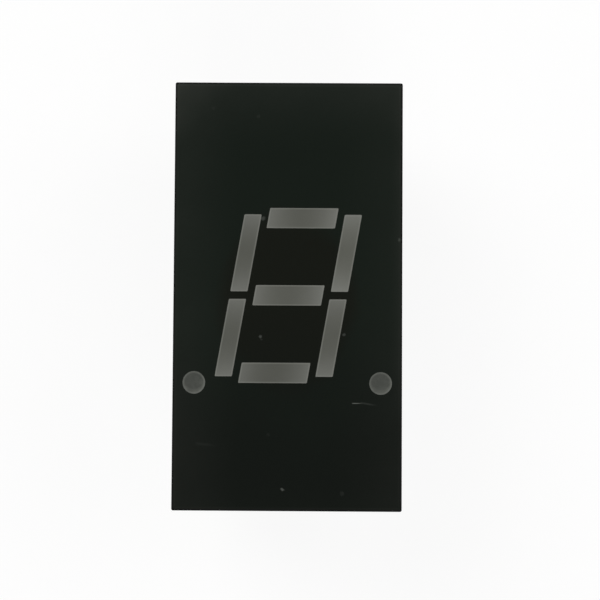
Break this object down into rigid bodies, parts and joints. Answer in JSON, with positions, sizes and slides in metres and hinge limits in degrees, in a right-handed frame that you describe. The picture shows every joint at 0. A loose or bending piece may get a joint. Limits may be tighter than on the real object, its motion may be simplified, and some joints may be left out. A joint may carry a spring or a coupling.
{
  "type": "seven segment display",
  "caption": "Single-character LED display with leaning bars, a decimal point on each side and a dual-in-line set of round leads for a circuit board or socket.",
  "frame": {"origin": "centre of the leads' pattern on the seating plane, which the feet of the housing rest on", "axes": "+Z out through the face, +Y to the top of the character, +X to the right of someone who reads it; the leads point along -Z"},
  "size_m": [0.0102, 0.019, 0.0104],
  "materials": {
    "shell": "satin black moulded plastic with fine scratches",
    "bar_resin": "diffusing grey cast epoxy, satin",
    "point_resin": "diffusing grey cast epoxy, satin",
    "laminate": "glass-fibre laminate with green mask",
    "copper": "gold-plated copper",
    "lead_wire": "tinned wire, satin",
    "solder": "reflowed solder, bright",
    "die": "sawn semiconductor",
    "bond_wire": "gold wire",
    "casting_resin": "cast epoxy, smooth"
  },
  "bodies": {
    "root": {"housing": "shell", "segment_a": "bar_resin", "segment_b": "bar_resin", "segment_c": "bar_resin", "segment_d": "bar_resin", "segment_e": "bar_resin", "segment_f": "bar_resin", "segment_g": "bar_resin", "point_left": "point_resin", "point_right": "point_resin", "circuit_board": "laminate", "track_anode": "copper", "track_a": "copper", "track_b": "copper", "track_c": "copper", "track_d": "copper", "track_e": "copper", "track_f": "copper", "track_g": "copper", "track_point_left": "copper", "track_point_right": "copper", "lead_1": "lead_wire", "lead_2": "lead_wire", "lead_3": "lead_wire", "lead_6": "lead_wire", "lead_7": "lead_wire", "lead_8": "lead_wire", "lead_9": "lead_wire", "lead_10": "lead_wire", "lead_11": "lead_wire", "lead_13": "lead_wire", "lead_14": "lead_wire", "solder_joints": "solder", "die_a": "die", "die_b": "die", "die_c": "die", "die_d": "die", "die_e": "die", "die_f": "die", "die_g": "die", "die_point_left": "die", "die_point_right": "die", "wire_a": "bond_wire", "wire_b": "bond_wire", "wire_c": "bond_wire", "wire_d": "bond_wire", "wire_e": "bond_wire", "wire_f": "bond_wire", "wire_g": "bond_wire", "wire_point_left": "bond_wire", "wire_point_right": "bond_wire", "rear_casting": "casting_resin"}
  },
  "joints": []
}
